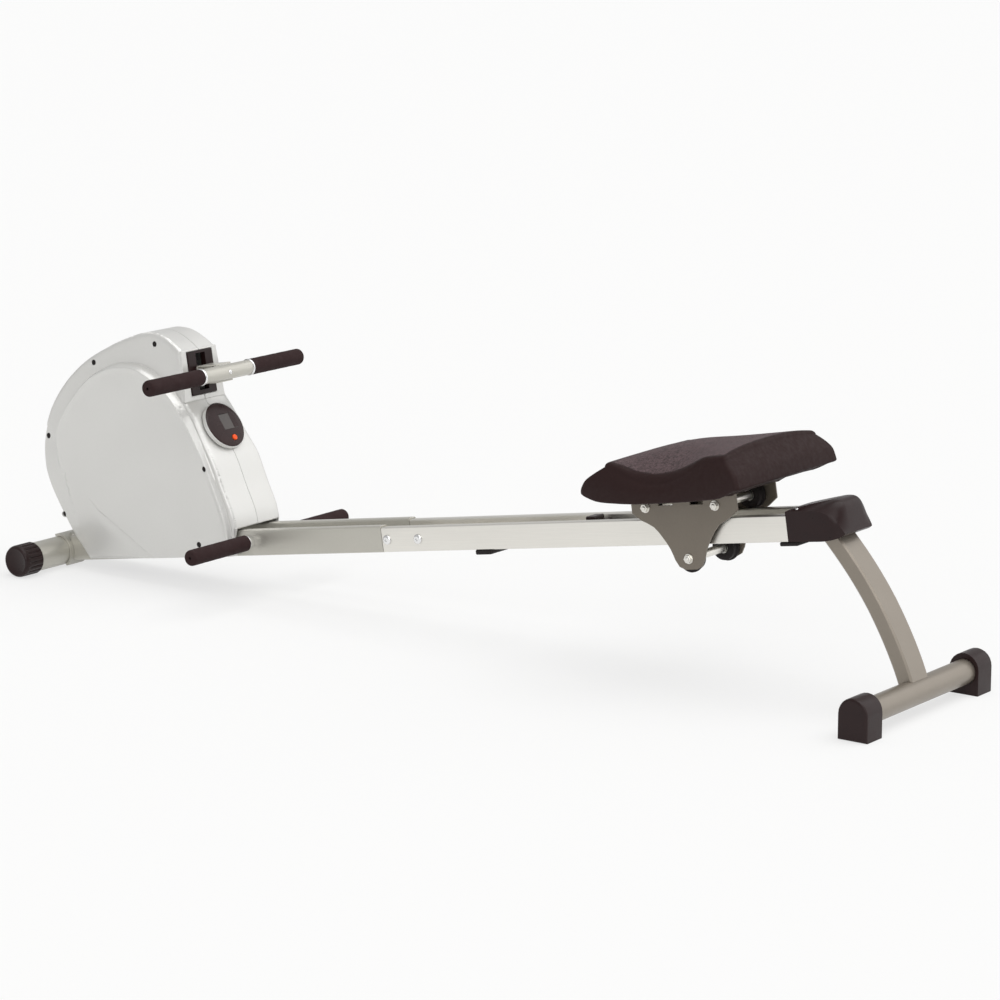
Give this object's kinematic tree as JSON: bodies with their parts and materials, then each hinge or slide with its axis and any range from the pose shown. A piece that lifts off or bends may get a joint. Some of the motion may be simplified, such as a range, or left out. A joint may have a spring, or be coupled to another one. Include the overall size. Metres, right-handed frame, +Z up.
{
  "type": "seated row machine",
  "caption": "Compact magnetic rowing machine with a strap-pulled handle, a seat rolling on twin tilted rails, foot pegs, and a curved rear leg with a cross foot.",
  "frame": {"origin": "centre of the bounding box, on the floor it stands on", "axes": "+X from the drive housing towards the rear leg, +Y towards the right hand of a user who sits facing -X, +Z up"},
  "size_m": [2.1494, 0.496, 0.5343],
  "materials": {
    "champagne_paint": "satin metallic",
    "leg_paint": "satin metallic",
    "brushed_aluminium": "brushed",
    "silver_housing": "metallic satin",
    "dark_brown_plastic": "fine grain",
    "computer_face_plastic": "gloss",
    "foam_grip": "matte foam",
    "seat_skin": "grained",
    "chrome": "polished",
    "plate_paint": "satin",
    "plain_steel": "zinc",
    "flywheel_iron": "machined",
    "black_rubber": "matte",
    "webbing": "woven",
    "orange_plastic": "satin",
    "display_lens": "clear over grey"
  },
  "bodies": {
    "frame": {"front_stabilizer_tube": "champagne_paint", "stabilizer_axle": "dark_brown_plastic", "front_saddle_left": "champagne_paint", "front_saddle_right": "champagne_paint", "front_rail_left": "champagne_paint", "front_rail_right": "champagne_paint", "rear_rail_left": "brushed_aluminium", "rear_rail_right": "brushed_aluminium", "splice_bolt_front": "chrome", "splice_bolt_rear": "chrome", "rail_cross_brace": "dark_brown_plastic", "front_travel_stop": "black_rubber", "rear_bumper": "black_rubber", "footrest_rod": "chrome", "footrest_grip_left": "foam_grip", "footrest_grip_right": "foam_grip", "housing_left": "silver_housing", "housing_right": "silver_housing", "strap_bezel": "dark_brown_plastic", "drive_upright_left": "plain_steel", "drive_upright_right": "plain_steel", "drum_axle": "plain_steel", "flywheel_axle": "plain_steel", "brake_magnets": "plain_steel", "drive_belt": "black_rubber", "computer_case": "silver_housing", "computer_face": "computer_face_plastic", "computer_lens": "display_lens", "rear_hood": "dark_brown_plastic", "rear_leg": "leg_paint", "rear_stabilizer_tube": "leg_paint", "rear_foot_left": "dark_brown_plastic", "rear_foot_right": "dark_brown_plastic"},
    "transport_roller_left_body": {"transport_roller_left": "dark_brown_plastic"},
    "transport_roller_right_body": {"transport_roller_right": "dark_brown_plastic"},
    "flywheel_body": {"flywheel": "flywheel_iron"},
    "belt_pulley_body": {"belt_pulley": "dark_brown_plastic"},
    "strap_drum_body": {"strap_drum": "dark_brown_plastic"},
    "guide_roller_body": {"guide_roller": "dark_brown_plastic"},
    "handle": {"handle_bar": "chrome", "handle_tube": "champagne_paint", "handle_grip_left": "foam_grip", "handle_grip_right": "foam_grip", "handle_bracket": "champagne_paint", "pull_strap": "webbing"},
    "carriage": {"carriage_plate_left": "plate_paint", "carriage_plate_right": "plate_paint", "axle_front": "brushed_aluminium", "axle_rear": "brushed_aluminium", "axle_lower": "brushed_aluminium", "seat_board": "plate_paint", "seat_cushion": "seat_skin"},
    "rollers_front": {"roller_front_left": "black_rubber", "roller_front_right": "black_rubber"},
    "rollers_rear": {"roller_rear_left": "black_rubber", "roller_rear_right": "black_rubber"},
    "rollers_lower": {"roller_lower_left": "black_rubber", "roller_lower_right": "black_rubber"},
    "button": {"computer_button": "orange_plastic"}
  },
  "joints": [
    {"name": "seat_slide", "type": "slide", "parent": "frame", "child": "carriage", "axis": [0.9878, 0, 0.1558], "range_m": [-0.45, 0.118]},
    {"name": "rollers_front_spin", "type": "hinge", "parent": "carriage", "child": "rollers_front", "pos_m": [0.48763, 0, 0.32776], "axis": [0, 1, 0], "range_deg": [-1060, 280]},
    {"name": "rollers_rear_spin", "type": "hinge", "parent": "carriage", "child": "rollers_rear", "pos_m": [0.64371, 0, 0.35237], "axis": [0, 1, 0], "range_deg": [-1060, 280]},
    {"name": "rollers_lower_spin", "type": "hinge", "parent": "carriage", "child": "rollers_lower", "pos_m": [0.58711, 0, 0.24261], "axis": [0, 1, 0], "range_deg": [-280, 1060]},
    {"name": "handle_pull", "type": "slide", "parent": "frame", "child": "handle", "axis": [0.9878, 0, 0.1558], "range_m": [0, 1.1], "stiffness_N_per_m": 15, "springref_m": -0.25},
    {"name": "strap_drum_turn", "type": "hinge", "parent": "frame", "child": "strap_drum_body", "pos_m": [-0.79611, 0, 0.39887], "axis": [0, 1, 0], "range_deg": [-5, 1980]},
    {"name": "guide_roller_turn", "type": "hinge", "parent": "frame", "child": "guide_roller_body", "pos_m": [-0.69866, 0, 0.4357], "axis": [0, 1, 0], "range_deg": [-10, 5900]},
    {"name": "flywheel_spin", "type": "hinge", "parent": "frame", "child": "flywheel_body", "pos_m": [-0.83617, 0, 0.23564], "axis": [0, 1, 0], "continuous": true},
    {"name": "belt_pulley_spin", "type": "hinge", "parent": "frame", "child": "belt_pulley_body", "pos_m": [-0.79611, 0, 0.39887], "axis": [0, 1, 0], "continuous": true},
    {"name": "transport_roller_left_spin", "type": "hinge", "parent": "frame", "child": "transport_roller_left_body", "pos_m": [-1.03871, -0.175, 0.0345], "axis": [0, 1, 0], "continuous": true},
    {"name": "transport_roller_right_spin", "type": "hinge", "parent": "frame", "child": "transport_roller_right_body", "pos_m": [-1.03871, 0.175, 0.0345], "axis": [0, 1, 0], "continuous": true},
    {"name": "button_press", "type": "slide", "parent": "frame", "child": "button", "axis": [-0.8281, 0, -0.5606], "range_m": [0, 0.0015], "stiffness_N_per_m": 400}
  ],
  "couplings": [
    {"joint": "rollers_front_spin", "follows": "seat_slide", "rad_per_m": 40.816},
    {"joint": "rollers_rear_spin", "follows": "seat_slide", "rad_per_m": 40.816},
    {"joint": "rollers_lower_spin", "follows": "seat_slide", "rad_per_m": -40.816},
    {"joint": "strap_drum_turn", "follows": "handle_pull", "rad_per_m": 31.25},
    {"joint": "guide_roller_turn", "follows": "handle_pull", "rad_per_m": 93.46},
    {"joint": "belt_pulley_spin", "follows": "flywheel_spin", "ratio": 0.3665}
  ]
}
